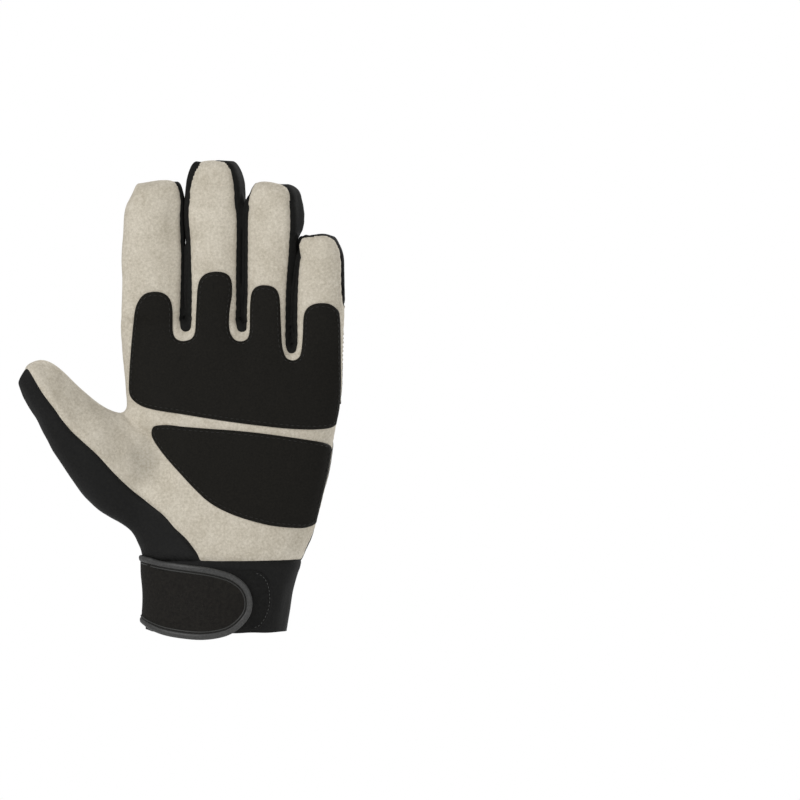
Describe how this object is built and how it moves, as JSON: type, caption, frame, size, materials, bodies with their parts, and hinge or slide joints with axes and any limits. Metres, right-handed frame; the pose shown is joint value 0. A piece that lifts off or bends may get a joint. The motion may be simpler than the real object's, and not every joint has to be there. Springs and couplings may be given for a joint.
{
  "type": "mechanic glove",
  "caption": "Left-hand work glove shown as worn: suede palm and fingers, stretch back, sewn palm pads and a wrist tube closed by a strap over a loop patch.",
  "frame": {"origin": "centre of the wrist opening, in the plane of the cuff's lower edge", "axes": "+Z from the wrist to the fingertips, -Y out of the palm, -X to the thumb's side"},
  "size_m": [0.1653, 0.0547, 0.243],
  "materials": {
    "suede": "matt brushed nap",
    "stretch_fabric": "matt",
    "band_fabric": "matt, slightly raised ribs",
    "knit_fabric": "matt knit",
    "pad_leather": "fine grain, matt",
    "strap_fabric": "matt",
    "binding": "satin",
    "loop_fabric": "brushed loops"
  },
  "bodies": {
    "root": {"palm_panel": "suede", "thumb_gusset": "suede", "knuckle_strip_middle": "suede", "knuckle_strip_ring": "suede", "knuckle_strip_little": "suede", "fourchette_index_middle": "stretch_fabric", "fourchette_middle_ring": "stretch_fabric", "fourchette_ring_little": "stretch_fabric", "index_back_insert": "stretch_fabric", "middle_back_insert": "stretch_fabric", "ring_back_insert": "stretch_fabric", "little_back": "stretch_fabric", "back_yoke": "stretch_fabric", "back_band": "band_fabric", "back_sleeve": "knit_fabric", "cuff": "knit_fabric", "cuff_strap": "strap_fabric", "strap_piping": "binding", "loop_patch": "loop_fabric", "palm_pad_upper": "pad_leather", "palm_pad_lower": "pad_leather"}
  },
  "joints": []
}
